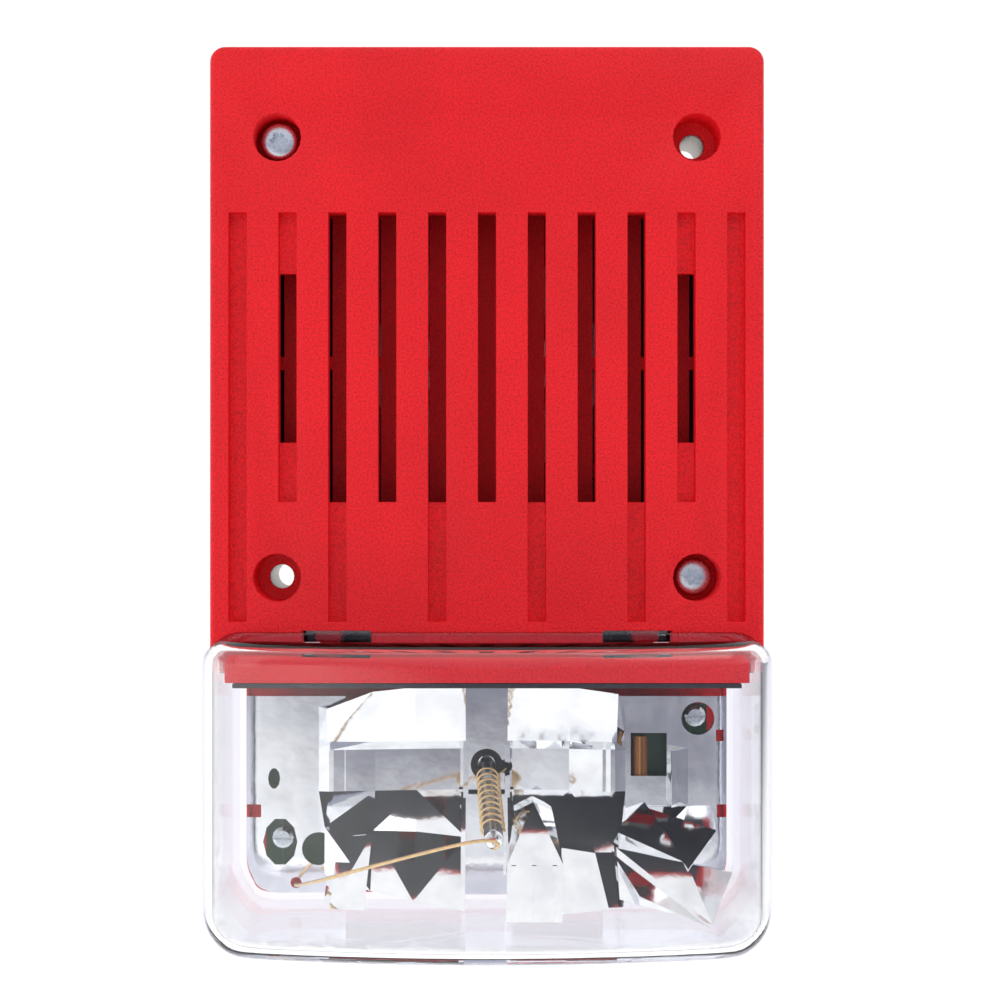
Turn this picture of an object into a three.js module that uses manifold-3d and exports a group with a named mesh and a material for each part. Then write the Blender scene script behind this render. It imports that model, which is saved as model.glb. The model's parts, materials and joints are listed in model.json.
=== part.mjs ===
// Wall-mounted horn strobe in millimetres. +Z is up, the wall is the plane y = 0 and the front faces -Y.
import * as THREE from "three";
import { mergeVertices } from "three/addons/utils/BufferGeometryUtils.js";
import { ConvexGeometry } from "three/addons/geometries/ConvexGeometry.js";
import Module from "manifold-3d";

const wasm = await Module();
wasm.setup();

// Driving dimensions of the outside.
const width = 127;
const height = 203.2;
const housingDepth = 38;
const overallDepth = 69.85;
const wall = 3;
const clearance = 0.3;
const halfWidth = width / 2;
const top = height / 2;
const bottom = -height / 2;
const faceY = -housingDepth;

// Grille: vertical grooves at an even pitch, most of them cut through.
const grillePitch = 11.4;
const grooveWidth = 4.1;
const grooveDepth = 2.7;
const grilleThickness = 4.5;
const grilleTop = 63.4;
const slotBottom = -2.8;
const grooveBottom = -30.2;
const outerSlot = [10.9, 49.7];
const louvreY = [-25, -23];
const tieRibZ = 30.1;

// Fixing screws, through counterbored holes on a rectangle.
const screwX = 48;
const screwZ = [80.6, -20.1];
const counterboreRadius = 5.5;
const counterboreFloorY = faceY + 10;
const screwHoleRadius = 2.85;
const sleeveRadius = 3.8;
const sleeveY = [-26.2, -9.5];
const coverScrew = { head: 4.2, headHeight: 3.6, shank: 2.4, socket: 2.05 };

// Lens: a clear box that wraps the lower third, with a bowed front.
const lensTop = -32.9;
const lensWall = 2.2;
const lensFrontY = -overallDepth;
const lensBowRadius = 240;
const lensCornerRadius = 18;
const lensTopRadius = 7;
const lensBottomRadius = 11;
const lensSeatY = faceY + 1.7;
const skirtTop = -42;
const snapX = 34.5;
const snapWidth = 15;

// Neck and floor of the housing, inside the lens.
const neckBottom = -44.1;
const stepBottom = skirtTop + clearance;
const innerHalfWidth = halfWidth - lensWall - clearance;
const floorBottom = bottom + lensWall + clearance;
const floorThickness = 3.8;
const rimWidth = 1;
const rimHeight = 1.4;
const leadPassage = { x: [-14, -7], y: [-28, -15] };
const sealThickness = 1;

// Posts inside the housing, and the holes their screws thread into.
const postRadius = 3.25;
const pilotRadius = 1.65;
const louvrePosts = { x: [-53.3, 53.3], z: [2, 58] };

// Reflector: a shell with flat panels at the sides, a dish in the middle and a strip down its centre.
const mirrorThickness = 1.1;
const panelY = -14;
const panelTop = -49.5;
const reflectorHalf = 59.2;
const reflectorTop = -46.5;
const reflectorBottom = -97;
const stripY = -16;
const stripHalf = 5;
const trough = [-62.5, -72.5];

// Lines down the dish, each at one x, as [y, z] from the top edge through the trough to the bottom edge.
const rightLines = [
  [5, [[-22, reflectorTop], [-16, -60], [-11, trough[0]], [-11, trough[1]], [-22, -85], [-36, -97]]],
  [20, [[-23, reflectorTop], [-17, -60], [-12, trough[0]], [-12, trough[1]], [-23, -85.5], [-36, -96]]],
  [31, [[-24, -48], [-19, -60], [-14.5, trough[0]], [-14.5, trough[1]], [-26, -85], [-39, -95]]],
];
const leftLines = [
  [-5, [[-22, reflectorTop], [-16, -60], [-11, trough[0]], [-11, trough[1]], [-20, -82.5], [-34, -97]]],
  [-17, [[-23, reflectorTop], [-17, -60], [-12, trough[0]], [-12, trough[1]], [-18, -81.5], [-33, -95]]],
  [-27, [[-24, -47.5], [-18, -60], [-13, trough[0]], [-13, trough[1]], [-19.5, -81], [-31, -93]]],
  [-38, [[-20, -52], [-18, -60], [-14.5, trough[0]], [-14.5, trough[1]], [-26, -79], [-27, -90]]],
];

// Horn, centred on the slots.
const hornZ = (grilleTop + slotBottom) / 2;
const hornRadius = 33;
const hornEars = [[0, hornZ + 41], [-28.5, 5.2], [28.5, 5.2]];
const hornEarY = [-14, -11.5];

// Boards and their screws.
const mainBoardY = [-16, -14.4];
const mainBoardScrews = [[-37, -33.5], [37, -33.5], [-37, -12], [37, -12]];
const rearPlateThickness = 1.6;
const rearPlateScrews = [[-53, 92.5], [53, 92.5], [-53, -34], [53, -34]];
const strobeBoardY = [-7.2, -5.6];
const strobeScrews = [[-49.8, -84.7], [51, -54.9]];
const wireEntry = { x: [-18, 18], z: [-20, -5] };
const terminalPitch = 9;
const terminalZ = -12.5;

// Flash tube, leaning down from its socket.
const tubeBase = new THREE.Vector3(0, -9.5, -66.4);
const tubeTip = new THREE.Vector3(1.5, -55, -77.4);
const tubeRadius = 2.1;
const tubeBore = 1.4;

const paint = {
  red: [0xd5202c, 0.55, 0],
  clear: [0xe6edf2, 0.05, 0],
  mirror: [0xdfe3e6, 0.08, 1],
  steel: [0xc8cacb, 0.3, 1],
  zinc: [0xd5dde0, 0.25, 1],
  black: [0x17181a, 0.6, 0],
  board: [0x14241a, 0.5, 0],
  copper: [0xb8663a, 0.35, 1],
  amber: [0xb86a22, 0.35, 0.5],
  brass: [0xc9a655, 0.3, 1],
  glass: [0xeef4f6, 0.03, 0],
  ferrite: [0x3a3c3f, 0.7, 0],
  green: [0x2c6b45, 0.5, 0],
  blue: [0x20344f, 0.4, 0],
  film: [0xcfc6a8, 0.4, 0],
  redLead: [0xb3202a, 0.5, 0],
};

// A closed geometry as a solid that can be joined and cut.
function solid(geometry) {
  geometry.deleteAttribute("normal");
  geometry.deleteAttribute("uv");
  const merged = mergeVertices(geometry, 1e-4);
  return new wasm.Manifold(
    new wasm.Mesh({
      numProp: 3,
      vertProperties: merged.attributes.position.array,
      triVerts: Uint32Array.from(merged.index.array),
    }),
  );
}

const join = (...solids) => solids.reduce((whole, next) => whole.add(next));
const cut = (body, ...tools) => tools.reduce((rest, tool) => rest.subtract(tool), body);
const overlap = (...solids) => solids.reduce((common, next) => common.intersect(next));

function box([x0, x1], [y0, y1], [z0, z1]) {
  const shape = new THREE.BoxGeometry(x1 - x0, y1 - y0, z1 - z0);
  return solid(shape.translate((x0 + x1) / 2, (y0 + y1) / 2, (z0 + z1) / 2));
}

// A round bar along Y.
function rod(radius, [y0, y1], x, z, sides = 20) {
  const shape = new THREE.CylinderGeometry(radius, radius, y1 - y0, sides);
  return solid(shape.translate(x, (y0 + y1) / 2, z));
}

// A body turned about an axis along Y, from a profile of [radius, y] going towards +Y.
function turned(profile, x, z, sides = 24) {
  const points = profile.map(([radius, y]) => new THREE.Vector2(radius, y));
  return solid(new THREE.LatheGeometry(points, sides).translate(x, 0, z));
}

function ring(outer, inner, [y0, y1], x, z, sides = 24) {
  return turned([[inner, y0], [outer, y0], [outer, y1], [inner, y1], [inner, y0]], x, z, sides);
}

// A flat outline in X and Z, extruded along Y; edge rounds both rims off.
function slab(outline, [y0, y1], edge = 0) {
  const shape = new THREE.ExtrudeGeometry(outline, {
    depth: y1 - y0 - 2 * edge,
    bevelEnabled: edge > 0,
    bevelSize: edge,
    bevelThickness: edge,
    bevelOffset: -edge,
    bevelSegments: 2,
    curveSegments: 5,
  });
  return solid(shape.rotateX(Math.PI / 2).translate(0, y1 - edge, 0));
}

function roundedOutline([x0, x1], [z0, z1], lowRadius, highRadius) {
  const outline = new THREE.Shape();
  outline.moveTo(x0 + lowRadius, z0);
  outline.lineTo(x1 - lowRadius, z0);
  if (lowRadius) outline.absarc(x1 - lowRadius, z0 + lowRadius, lowRadius, -Math.PI / 2, 0);
  outline.lineTo(x1, z1 - highRadius);
  if (highRadius) outline.absarc(x1 - highRadius, z1 - highRadius, highRadius, 0, Math.PI / 2);
  outline.lineTo(x0 + highRadius, z1);
  if (highRadius) outline.absarc(x0 + highRadius, z1 - highRadius, highRadius, Math.PI / 2, Math.PI);
  outline.lineTo(x0, z0 + lowRadius);
  if (lowRadius) outline.absarc(x0 + lowRadius, z0 + lowRadius, lowRadius, Math.PI, 1.5 * Math.PI);
  return outline;
}

// A round wire along a smooth curve through the points.
function wire(points, radius, stepLength, sides = 8) {
  const path = new THREE.CatmullRomCurve3(points.map((point) => new THREE.Vector3(...point)));
  const section = new THREE.Shape();
  for (let side = 0; side < sides; side++) {
    const angle = (2 * Math.PI * side) / sides;
    const corner = [radius * Math.cos(angle), radius * Math.sin(angle)];
    if (side) section.lineTo(...corner);
    else section.moveTo(...corner);
  }
  const steps = Math.round(path.getLength() / stepLength);
  return solid(new THREE.ExtrudeGeometry(section, { steps, extrudePath: path }));
}

const object = new THREE.Group();

function add(name, body, [color, roughness, metalness]) {
  const { numProp, vertProperties, triVerts } = body.getMesh();
  if (numProp !== 3) throw new Error(name + " carries more than positions");
  const geometry = new THREE.BufferGeometry();
  geometry.setAttribute("position", new THREE.BufferAttribute(vertProperties, 3));
  geometry.setIndex(new THREE.BufferAttribute(triVerts, 1));
  const material = new THREE.MeshStandardMaterial({ color, roughness, metalness, flatShading: true });
  const mesh = new THREE.Mesh(geometry, material);
  mesh.name = name;
  object.add(mesh);
}

const fixingHoles = screwZ.flatMap((z) => [[-screwX, z], [screwX, z]]);

// The lens outline in front view, plan and side view, shrunk by inset, as one solid block.
function lensBlock(inset) {
  const side = halfWidth - inset;
  const front = lensFrontY + inset;
  const low = bottom + inset;
  const high = lensTop - inset;
  const back = 5;
  const elevation = slab(
    roundedOutline([-side, side], [low, high], lensBottomRadius - inset, lensTopRadius - inset),
    [front - 1, back],
  );
  const corner = lensCornerRadius - inset;
  const bowRadius = lensBowRadius - inset;
  const bowCentreY = front + bowRadius;
  const cornerX = side - corner;
  const bowAngle = Math.asin(cornerX / (bowRadius - corner));
  const cornerY = bowCentreY - (bowRadius - corner) * Math.cos(bowAngle);
  const plan = new THREE.Shape();
  plan.moveTo(cornerX + corner, back);
  plan.lineTo(-cornerX - corner, back);
  plan.absarc(-cornerX, cornerY, corner, Math.PI, 1.5 * Math.PI - bowAngle);
  plan.absarc(0, bowCentreY, bowRadius, 1.5 * Math.PI - bowAngle, 1.5 * Math.PI + bowAngle);
  plan.absarc(cornerX, cornerY, corner, 1.5 * Math.PI + bowAngle, 2 * Math.PI);
  const planBlock = new THREE.ExtrudeGeometry(plan, {
    depth: high - low + 2,
    bevelEnabled: false,
    curveSegments: 8,
  });
  return overlap(elevation, solid(planBlock.translate(0, 0, low - 1)));
}

function frontHousing() {
  const acrossInside = [wall - halfWidth, halfWidth - wall];
  const shell = cut(
    overlap(
      slab(roundedOutline([-halfWidth, halfWidth], [-60, top], 0, 3.5), [faceY, 5], 1.5),
      box([-halfWidth, halfWidth], [faceY, 0], [stepBottom, top]),
    ),
    box(acrossInside, [faceY + wall, 1], [stepBottom + wall, top - wall]),
  );
  const neckHalf = innerHalfWidth;
  const neck = box([-neckHalf, neckHalf], [faceY, 0], [neckBottom, stepBottom + 1]);
  const neckHollow = box(
    [wall - neckHalf, neckHalf - wall],
    [faceY + wall, 1],
    [neckBottom + wall, stepBottom + wall + 0.1],
  );
  const lensRib = box(acrossInside, [faceY + 2.8, faceY + 6], [-39.5, -30.5]);
  const grillePad = box([-58.5, 58.5], [faceY + 2.8, faceY + grilleThickness], [-31.5, 66]);
  const floorCorner = lensBottomRadius - lensWall - clearance;
  const floorAcross = [-innerHalfWidth, innerHalfWidth];
  const rimAcross = [rimWidth - innerHalfWidth, innerHalfWidth - rimWidth];
  const floorOutline = roundedOutline(floorAcross, [floorBottom, neckBottom + 1], floorCorner, 0);
  const rimUp = [floorBottom + rimWidth, neckBottom + 2];
  const rimOutline = roundedOutline(rimAcross, rimUp, floorCorner - rimWidth, 0);
  const rimInside = slab(rimOutline, [-floorThickness - 1, rimHeight - floorThickness]);
  const floor = cut(slab(floorOutline, [-floorThickness, 0]), rimInside);
  const postFoot = faceY + 2.8;
  const post = (radius, y) => ([x, z]) => rod(radius, y, x, z, 10);
  const behind = (seatY) => [postFoot, seatY - clearance];
  const louvreSpots = louvrePosts.x.flatMap((x) => louvrePosts.z.map((z) => [x, z]));
  const posts = [
    ...hornEars.map(post(postRadius, behind(hornEarY[0]))),
    ...mainBoardScrews.map(post(postRadius, behind(mainBoardY[0]))),
    ...rearPlateScrews.map(post(3.5, behind(-rearPlateThickness))),
    ...strobeScrews.map(post(3, [strobeBoardY[1] + clearance, -1])),
    ...louvreSpots.map(post(2, behind(louvreY[0]))),
  ];
  const counterbores = fixingHoles.flatMap(([x, z]) => [
    rod(counterboreRadius + 1.75, [postFoot, counterboreFloorY + 1.5], x, z, 16),
    ring(6, sleeveRadius + clearance, [counterboreFloorY + 1.4, -15], x, z, 16),
  ]);
  const pilot = (y) => ([x, z]) => rod(pilotRadius, y, x, z, 8);
  const pilots = [
    ...hornEars.map(pilot([-22, hornEarY[0] + 1])),
    ...mainBoardScrews.map(pilot([-24, mainBoardY[0] + 1])),
    ...rearPlateScrews.map(pilot([-12, -1])),
    ...strobeScrews.map(pilot([strobeBoardY[1] - 0.4, -1.2])),
  ];
  const lensGroove = cut(
    overlap(lensBlock(-clearance), box([-70, 70], [faceY - 1, lensSeatY + clearance], [-110, 0])),
    lensBlock(lensWall + clearance),
  );
  const snapSlots = [-snapX, snapX].map((x) =>
    box([x - snapWidth / 2 - 0.4, x + snapWidth / 2 + 0.4], [faceY - 1, faceY + 8], [-36, lensTop + 0.7]),
  );
  const leadHole = box(leadPassage.x, leadPassage.y, [neckBottom - 1, neckBottom + wall + 1]);
  const walls = cut(join(shell, neck), neckHollow);
  return cut(
    join(walls, lensRib, grillePad, floor, ...posts, ...counterbores),
    lensGroove,
    leadHole,
    ...snapSlots,
    ...pilots,
    ...grooves(),
    ...fixingHoles.flatMap(([x, z]) => [
      rod(counterboreRadius, [faceY - 1, counterboreFloorY], x, z),
      rod(screwHoleRadius, [counterboreFloorY - 1, counterboreFloorY + 2], x, z),
    ]),
  );
}

// The cutters of the grille: a shallow groove on every line and a slot through most of them.
function grooves() {
  const cutters = [];
  for (let line = -5; line <= 5; line++) {
    const place = Math.abs(line);
    const across = [line * grillePitch - grooveWidth / 2, line * grillePitch + grooveWidth / 2];
    const low = place % 2 ? grooveBottom : slotBottom;
    cutters.push(box(across, [faceY - 1, faceY + grooveDepth], [low, grilleTop]));
    const through = place === 4 ? outerSlot : [slotBottom, grilleTop];
    if (place < 5) cutters.push(box(across, [faceY - 1, faceY + 6], through));
  }
  return cutters;
}

// Bars that stand behind the slots, in one frame.
function grilleBaffle() {
  const low = slotBottom - 5;
  const high = grilleTop + 3.4;
  const opening = box([-51, 51], [louvreY[0] - 1, louvreY[1] + 1], [low + 2.8, high - 2.4]);
  const frame = cut(box([-56, 56], louvreY, [low, high]), opening);
  const tieRib = box([-52, 52], louvreY, [tieRibZ - 1.5, tieRibZ + 1.5]);
  const halfBar = grooveWidth / 2 + 0.1;
  const bars = [];
  for (let line = -4; line <= 4; line++) {
    const x = line * grillePitch;
    bars.push(box([x - halfBar, x + halfBar], louvreY, [low + 1, high - 1]));
  }
  return join(frame, tieRib, ...bars);
}

function lens() {
  const shell = cut(
    overlap(lensBlock(0), box([-70, 70], [-80, -clearance], [-110, 0])),
    lensBlock(lensWall),
  );
  const behindFace = box([-70, 70], [lensSeatY, 10], [skirtTop, 0]);
  const snaps = [-snapX, snapX].map((x) => {
    const across = [x - snapWidth / 2, x + snapWidth / 2];
    const arm = box(across, [faceY - 1, faceY + 6.8], [lensTop - 2, lensTop - 0.4]);
    const hook = box(across, [faceY + 6.2, faceY + 6.8 + 1], [lensTop - 2, lensTop + 0.4]);
    return join(arm, hook);
  });
  const ribs = [-49.6, 49.6].map((x) =>
    box([x - 1, x + 1], [lensFrontY + 12, faceY - 0.8], [lensTop - 4.5, lensTop - 2]),
  );
  return join(cut(shell, behindFace), ...snaps, ...ribs);
}

// One mirror facet: the hull of its corners and of the same corners moved by the shell's thickness.
function facet(corners, shift = [0, mirrorThickness, 0]) {
  const front = corners.map((corner) => new THREE.Vector3(...corner));
  const back = front.map((corner) => corner.clone().add(new THREE.Vector3(...shift)));
  return solid(new ConvexGeometry([...front, ...back]));
}

// An upright mirror wall at x, from its outline of [y, z] corners.
function upright(x, corners) {
  const shift = [mirrorThickness * Math.sign(x), 0, 0];
  return facet(corners.map(([y, z]) => [x, y, z]), shift);
}

// One half of the dish: a facet in each cell between two lines, and a cheek from the last line to the panel.
function dishHalf(lines) {
  const pieces = [];
  lines.forEach(([x, line], index) => {
    const next = lines[index + 1];
    for (let row = 0; row + 1 < line.length; row++) {
      const [from, to] = [line[row], line[row + 1]];
      const corners = [[x, ...from], [x, ...to]];
      if (next) {
        pieces.push(facet([...corners, [next[0], ...next[1][row]], [next[0], ...next[1][row + 1]]]));
        continue;
      }
      const side = Math.sign(x);
      const foot = corners.map((corner) => [x + 2.5 * side, Math.max(panelY, corner[1]), corner[2]]);
      pieces.push(facet([...corners, ...foot], [-mirrorThickness * side, 0, 0]));
    }
  });
  return pieces;
}

// The walls that join the centre strip to the first line of a half.
function stripWalls([x, line]) {
  const back = stripY + 1;
  return [
    upright(x, [[back, line[0][1]], line[0], line[1]]),
    box([x - 0.6, x + 0.6], [stripY, line[2][0] + 0.6], [line[4][1], line[1][1]]),
    upright(x, [line[4], line[5], [back, line[5][1]], [back, line[3][1]]]),
    upright(x, [line[3], line[4], [back, line[4][1]]]),
  ];
}

// The creased facets that stand on the right panel, below the dish.
function rightWing() {
  const wedge = [0, 5, 0];
  return [
    facet([[38, -16, -76], [54, -14, -76], [54, -25, -80], [46, -36, -87]]),
    facet([[30, -31, -83], [46, -34, -86], [57, -35, -88], [50, -47, -97], [30, -40, -93]]),
    facet([[29, -33, -84], [34, -46, -91], [49, -50, -97]], wedge),
    facet([[30, -26, -80], [46, -34, -86], [38, -15, -75]]),
  ];
}

function leftWing() {
  return [
    facet([[-27, -25, -81], [-35, -23, -82], [-36, -36, -96], [-28, -38, -96]]),
    facet([[-34.5, -23.2, -82], [-37, -14, -81], [-38, -28, -96], [-35.4, -36.2, -96]]),
  ];
}

// The ribbed finger that stands up out of the dish beside the tube, and the stub at its side.
function finger() {
  const thick = [0, 9, 0];
  const rib = (x) => facet([[x, -37, -86], [x + 1, -37, -86], [x + 1, -47, -96.4], [x, -47, -96.4]]);
  return [
    facet([[6.5, -22, -76], [11, -24, -73.5], [15.5, -22, -76], [17.5, -36, -86], [4.6, -36, -86]], thick),
    facet([[4.6, -36, -86], [17.5, -36, -86], [16.8, -46, -96.8], [4.2, -46, -96.8]], thick),
    facet([[17.3, -31, -83], [25, -32, -84], [27.5, -42, -95], [16.6, -42, -96]], thick),
    ...[5.6, 10.3, 15].map(rib),
  ];
}

function reflector() {
  const across = [-stripHalf - 0.5, stripHalf + 0.5];
  const stripDepth = [stripY, stripY + mirrorThickness];
  const strip = [
    box(across, stripDepth, [trough[0] + 1.5, reflectorTop]),
    box(across, [-11.6, -10.5], [trough[1] - 1.5, trough[0] + 2.5]),
    box(across, stripDepth, [reflectorBottom, trough[1] - 0.5]),
  ];
  const panel = (x) => box(x, [panelY, panelY + mirrorThickness], [reflectorBottom, panelTop]);
  const bright = facet([[44, -20, -62], [44, -20, -75.5], [48.6, panelY, -75.5], [48.6, panelY, -62]]);
  const body = join(
    ...strip,
    ...stripWalls(rightLines[0]),
    ...stripWalls(leftLines[0]),
    panel([-reflectorHalf, -34]),
    panel([28, reflectorHalf]),
    ...dishHalf(rightLines),
    ...dishHalf(leftLines),
    ...rightWing(),
    ...leftWing(),
    ...finger(),
    bright,
  );
  const reach = [reflectorBottom, reflectorTop];
  const outline = roundedOutline([-reflectorHalf, reflectorHalf], reach, 9, 0);
  const through = [-20, -5];
  return cut(
    overlap(body, slab(outline, [-66, -5])),
    rod(tubeRadius + 1.8, through, tubeBase.x, tubeBase.z),
    rod(1.7, through, 4.6, tubeBase.z - 0.4, 12),
    box([34.8, 43.5], through, [-68.8, -58.4]),
    box([55.4, 58.4], through, [-60.4, -57.6]),
    box([55.8, 60], through, [-78.8, -75.7]),
    box([-60, -54.4], through, [-78.8, -75.7]),
    rod(4, through, 51, -54.9),
    rod(4, through, -40.6, -86.4),
    ovalHole(-51.3, -69.4, 1.45, 2.55, through),
    ovalHole(-49.8, -84.7, 4.1, 5.8, through),
    rod(1.4, through, -46, -94.6, 8),
  );
}

function ovalHole(x, z, radiusX, radiusZ, depth) {
  const outline = new THREE.Shape();
  outline.absellipse(x, z, radiusX, radiusZ, 0, 2 * Math.PI);
  return slab(outline, depth);
}

// Turns and places a body made along +Y from the origin, so that it runs from start towards end.
function aimed(body, start, end) {
  const turn = new THREE.Quaternion().setFromUnitVectors(
    new THREE.Vector3(0, 1, 0),
    end.clone().sub(start).normalize(),
  );
  const place = new THREE.Matrix4().compose(start, turn, new THREE.Vector3(1, 1, 1));
  return body.transform(place.elements);
}

const tubeLength = tubeBase.distanceTo(tubeTip);

function flashTube() {
  const end = tubeLength - 1.6;
  const profile = [
    [tubeBore, 0],
    [tubeRadius, 0],
    [tubeRadius, end],
    [tubeRadius * 0.8, end + 1.1],
    [0.55, end + 1.6],
    [0.55, end],
    [tubeBore, end - 0.8],
    [tubeBore, 0],
  ];
  return aimed(turned(profile, 0, 0, 24), tubeBase, tubeTip);
}

function electrode(front) {
  const end = tubeLength - 1.6;
  const profile = front
    ? [[0, end - 8], [1, end - 8], [1, end - 3], [0.35, end - 2.4], [0.35, end + 2.6], [0, end + 2.6]]
    : [[0, -1.6], [0.35, -1.6], [0.35, 1.5], [1, 2], [1, 9], [0, 9]];
  return aimed(turned(profile, 0, 0, 12), tubeBase, tubeTip);
}

// The trigger wire: even turns on the glass, then a tail back to the small hole beside the tube.
function triggerWire() {
  const turns = 10;
  const perTurn = 10;
  const coilRadius = tubeRadius + 0.55;
  const from = 7;
  const to = tubeLength - 6;
  const axis = tubeTip.clone().sub(tubeBase).normalize();
  const across = new THREE.Vector3(1, 0, 0).cross(axis).normalize();
  const beside = across.clone().cross(axis).negate();
  const points = [[5, -8, -66.9], [4.8, -14, -67], [3.6, -15.8, -67.6]];
  for (let step = 0; step <= turns * perTurn; step++) {
    const angle = (2 * Math.PI * step) / perTurn;
    const along = from + ((to - from) * step) / (turns * perTurn);
    const point = tubeBase
      .clone()
      .addScaledVector(axis, along)
      .addScaledVector(beside, coilRadius * Math.cos(angle))
      .addScaledVector(across, coilRadius * Math.sin(angle));
    points.push(point.toArray());
  }
  return wire(points, 0.24, 1.7, 5);
}

function returnLead() {
  const route = [
    [1.6, -57.4, -78.2],
    [3.2, -58.8, -77],
    [0, -59, -75.8],
    [-8, -57.5, -77.6],
    [-25, -52, -83],
    [-37, -42, -88.2],
    [-45.4, -22, -93.8],
    [-46, -15, -94.6],
    [-46, -8.2, -94.6],
  ];
  return wire(route, 0.4, 2.6, 6);
}

// A screw with a domed head and a driver socket, seated at seatY.
function domedScrew(x, z, seatY, tipY) {
  const { head, headHeight, shank, socket } = coverScrew;
  const frontY = seatY - headHeight;
  const body = turned(
    [
      [0, frontY],
      [head * 0.72, frontY],
      [head * 0.93, frontY + 0.45],
      [head, frontY + 1.1],
      [head, seatY],
      [shank, seatY],
      [shank, tipY - 0.6],
      [shank * 0.7, tipY],
      [0, tipY],
    ],
    x,
    z,
    20,
  );
  return cut(body, rod(socket, [frontY - 1, frontY + 0.55 * headHeight], x, z, 6));
}

// A small slotted screw seated at seatY. Its head points to +Y where facing is 1, and to -Y where it is -1.
function smallScrew(x, z, seatY, length, facing) {
  const tip = -length;
  const profile = [
    [0, tip],
    [0.9, tip],
    [1.3, tip + 0.8],
    [1.3, 0],
    [2.7, 0],
    [2.6, 1.1],
    [1.8, 1.7],
    [0, 1.7],
  ].map(([radius, along]) => [radius, seatY + facing * along]);
  if (facing < 0) profile.reverse();
  const slotY = [seatY + facing * 0.9, seatY + facing * 3].sort((low, high) => low - high);
  return cut(turned(profile, x, z, 12), box([x - 4, x + 4], slotY, [z - 0.35, z + 0.35]));
}

// A flat-headed screw driven from behind, flush with the rear plate.
function countersunkScrew(x, z, length) {
  const body = turned(
    [
      [0, -length],
      [0.9, -length],
      [1.3, -length + 0.8],
      [1.3, -1.6],
      [2.7, -0.3],
      [2.7, -0.1],
      [0, -0.1],
    ],
    x,
    z,
    12,
  );
  const slotY = [-0.8, 1];
  return cut(body, box([x - 4, x + 4], slotY, [z - 0.35, z + 0.35]));
}

function rearPlate() {
  const plateY = [-rearPlateThickness, 0];
  const plate = slab(roundedOutline([-60, 60], [stepBottom + wall + 0.4, top - wall - 0.5], 2, 2), plateY);
  const through = [-3, 1];
  return cut(
    plate,
    box(wireEntry.x, through, wireEntry.z),
    ...fixingHoles.map(([x, z]) => rod(8, through, x, z, 16)),
    ...rearPlateScrews.map(([x, z]) =>
      turned([[0, -3], [1.7, -3], [1.7, -1.5], [3.1, -0.1], [3.1, 1], [0, 1]], x, z, 12),
    ),
  );
}

function mainBoard() {
  return cut(
    box([-41, 41], mainBoardY, [-37.5, -5]),
    ...mainBoardScrews.map(([x, z]) => rod(pilotRadius, [-20, -10], x, z, 8)),
  );
}

function strobeBoard() {
  return cut(
    box([-54, 54], strobeBoardY, [-93, -52]),
    ...strobeScrews.map(([x, z]) => rod(pilotRadius, [-10, -3], x, z, 8)),
  );
}

function terminalBlock() {
  const half = 2 * terminalPitch;
  const block = box([-half, half], [mainBoardY[1] + clearance, -3.6], [terminalZ - 6, terminalZ + 6]);
  const cells = terminalCentres().flatMap((x) => [
    rod(3.3, [-8.2, -3], x, terminalZ, 12),
    box([x - 3.3, x + 3.3], [-8.2, -3], [terminalZ - 7, terminalZ]),
  ]);
  return cut(block, ...cells, ...terminalCentres().map((x) => rod(1.6, [-12, -8], x, terminalZ, 8)));
}

function terminalCentres() {
  return [-1.5, -0.5, 0.5, 1.5].map((place) => place * terminalPitch);
}

function hornFrame() {
  const r = hornRadius;
  const cup = turned(
    [
      [r - 2, -21.5],
      [r, -21.5],
      [r, -3.5],
      [0, -3.5],
      [0, -5.4],
      [r - 4.5, -5.4],
      [r - 4.5, -18],
      [r - 2, -18],
      [r - 2, -21.5],
    ],
    0,
    hornZ,
    28,
  );
  const ears = hornEars.map(([x, z]) => {
    const inward = new THREE.Vector2(-x, hornZ - z).setLength(6);
    const places = [[x, z], [x + inward.x, z + inward.y]];
    return places.map(([px, pz]) => rod(4, hornEarY, px, pz, 12)).reduce((ear, next) => ear.add(next));
  });
  const hollow = rod(r - 4.5, [-17, -6], 0, hornZ, 28);
  const holes = hornEars.map(([x, z]) => rod(pilotRadius, [-20, -5], x, z, 8));
  const leadHoles = [-5, 5].map((x) => box([x - 1.1, x + 1.1], [-9.1, -6.9], [hornZ - r - 1, hornZ - 24]));
  return cut(join(cup, ...ears), hollow, ...holes, ...leadHoles);
}

function polePiece() {
  return turned([[0, -16.4], [4.5, -16.4], [4.5, -7.3], [16, -7.3], [16, -5.8], [0, -5.8]], 0, hornZ);
}

function coilBobbin() {
  const profile = [
    [4.8, -15.7],
    [9, -15.7],
    [9, -14.9],
    [5.7, -14.9],
    [5.7, -8.4],
    [9, -8.4],
    [9, -7.6],
    [4.8, -7.6],
    [4.8, -15.7],
  ];
  return turned(profile, 0, hornZ);
}

// A flat disc with one pressed ring, as thin as the sheet it is made from.
function diaphragm() {
  const sheet = 0.4;
  const front = [[0, -18.9], [13, -18.9], [15, -18.4], [17, -18.9], [30.4, -18.9]];
  const back = front.map(([radius, y]) => [radius, y + sheet]).reverse();
  return turned([...front, ...back], 0, hornZ, 28);
}

function buildFront() {
  add("front_housing", frontHousing(), paint.red);
  add("grille_baffle", grilleBaffle(), paint.red);
  add("lens", lens(), paint.clear);
  const driven = { top_left: [-screwX, screwZ[0], 2.4], bottom_right: [screwX, screwZ[1], 0] };
  for (const [name, [x, z, proud]] of Object.entries(driven)) {
    const seat = counterboreFloorY - clearance - proud;
    add("cover_screw_" + name, domedScrew(x, z, seat, -0.6 - proud), paint.zinc);
  }
  fixingHoles.forEach(([x, z], index) => {
    add("screw_sleeve_" + (index + 1), ring(sleeveRadius, screwHoleRadius, sleeveY, x, z, 16), paint.steel);
  });
}

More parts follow.
